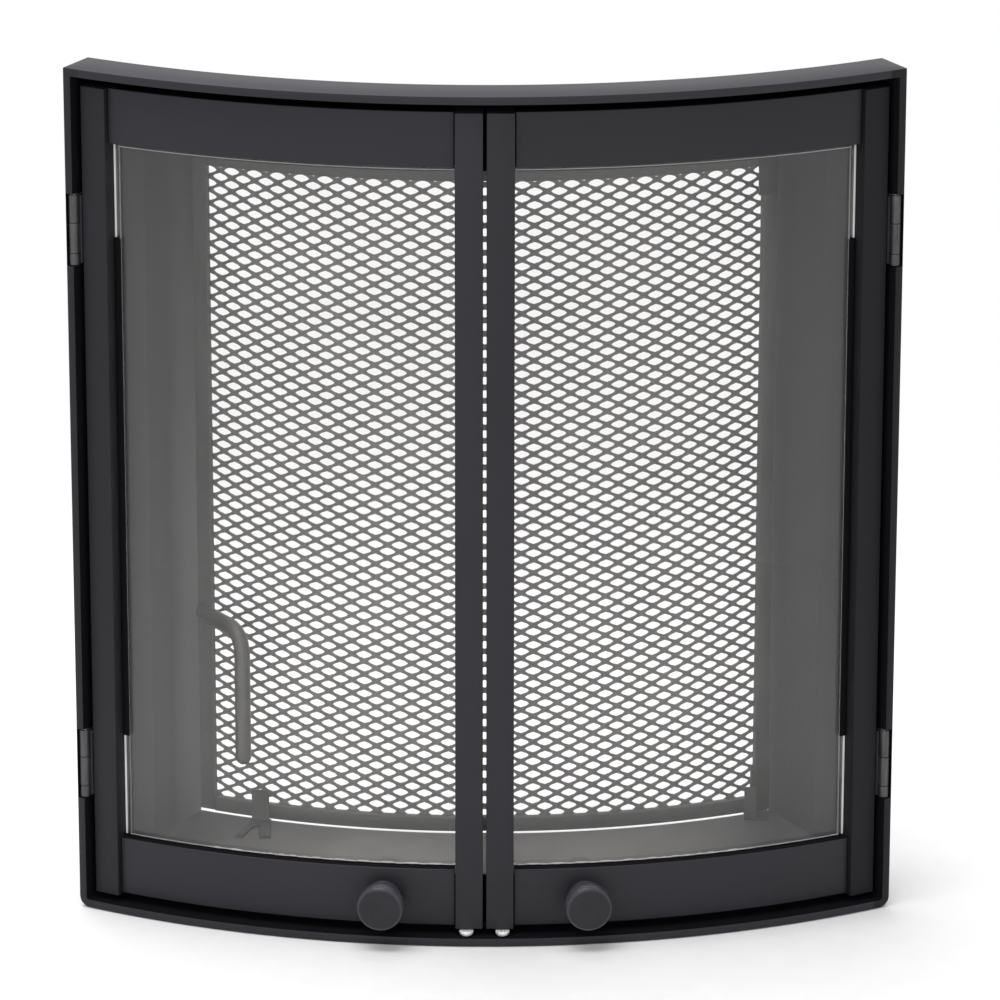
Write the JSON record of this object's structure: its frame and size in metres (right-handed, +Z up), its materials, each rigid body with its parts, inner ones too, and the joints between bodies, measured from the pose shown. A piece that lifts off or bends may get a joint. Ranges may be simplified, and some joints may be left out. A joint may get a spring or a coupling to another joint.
{
  "type": "fireplace glass door",
  "caption": "Bow-fronted steel fireplace door unit: curved rim, hinged doors of bent glass with knobs, and a hinged expanded-metal spark screen inside.",
  "frame": {"origin": "centre of the underside of the bounding box: on the floor, midway from side to side and front to back", "axes": "+X to the viewer's right across the unit's width, +Y towards the fire, +Z up; the doors face -Y"},
  "size_m": [0.6, 0.1764, 0.642],
  "materials": {
    "rim_coat": "matte charcoal powder coat",
    "door_coat": "matte charcoal powder coat",
    "lining_coat": "heat-resistant grey-black paint, matte",
    "screen_steel": "dark grey coated steel",
    "hinge_steel": "dull grey steel",
    "bright_steel": "bright plated",
    "knob_coat": "satin charcoal coat",
    "glass": "clear heat-resistant glass, polished edges"
  },
  "bodies": {
    "frame": {"rim_bottom": "rim_coat", "rim_top": "rim_coat", "sill_plate": "lining_coat", "header_plate": "lining_coat", "floor_plate": "lining_coat", "ceiling_plate": "lining_coat", "rim_left": "rim_coat", "wing_left": "lining_coat", "magnet_left": "bright_steel", "hinge_frame_leaf_left_lower": "hinge_steel", "hinge_pin_left_lower": "hinge_steel", "hinge_frame_leaf_left_upper": "hinge_steel", "hinge_pin_left_upper": "hinge_steel", "rim_right": "rim_coat", "wing_right": "lining_coat", "magnet_right": "bright_steel", "hinge_frame_leaf_right_lower": "hinge_steel", "hinge_pin_right_lower": "hinge_steel", "hinge_frame_leaf_right_upper": "hinge_steel", "hinge_pin_right_upper": "hinge_steel", "screen_bracket_lower": "screen_steel", "screen_bracket_upper": "screen_steel", "screen_stop": "screen_steel", "screen_pin_lower": "hinge_steel", "screen_pin_upper": "hinge_steel"},
    "left_door": {"left_outer_stile": "door_coat", "left_centre_stile": "door_coat", "left_top_rail": "door_coat", "left_bottom_rail": "door_coat", "left_glass": "glass", "left_glass_clamp": "door_coat", "left_knob_rosette": "knob_coat", "left_knob": "knob_coat", "left_knob_screw": "hinge_steel", "hinge_door_leaf_left_lower": "hinge_steel", "hinge_door_leaf_left_upper": "hinge_steel"},
    "right_door": {"right_outer_stile": "door_coat", "right_centre_stile": "door_coat", "right_top_rail": "door_coat", "right_bottom_rail": "door_coat", "right_glass": "glass", "right_glass_clamp": "door_coat", "right_knob_rosette": "knob_coat", "right_knob": "knob_coat", "right_knob_screw": "hinge_steel", "hinge_door_leaf_right_lower": "hinge_steel", "hinge_door_leaf_right_upper": "hinge_steel"},
    "spark_screen": {"screen_bar_left": "screen_steel", "screen_bar_right": "screen_steel", "screen_bar_bottom": "screen_steel", "screen_bar_top": "screen_steel", "screen_mesh": "screen_steel", "screen_handle": "screen_steel", "screen_strap_lower": "screen_steel", "screen_strap_upper": "screen_steel"}
  },
  "joints": [
    {"name": "left_door_swing", "type": "hinge", "parent": "frame", "child": "left_door", "pos_m": [-0.29429, 0.00426, 0.321], "axis": [0, 0, -1], "range_deg": [0, 110]},
    {"name": "right_door_swing", "type": "hinge", "parent": "frame", "child": "right_door", "pos_m": [0.29429, 0.00426, 0.321], "axis": [0, 0, 1], "range_deg": [0, 110]},
    {"name": "spark_screen_swing", "type": "hinge", "parent": "frame", "child": "spark_screen", "pos_m": [0.20667, 0.0809, 0.304], "axis": [0, 0, -1], "range_deg": [0, 45]}
  ]
}
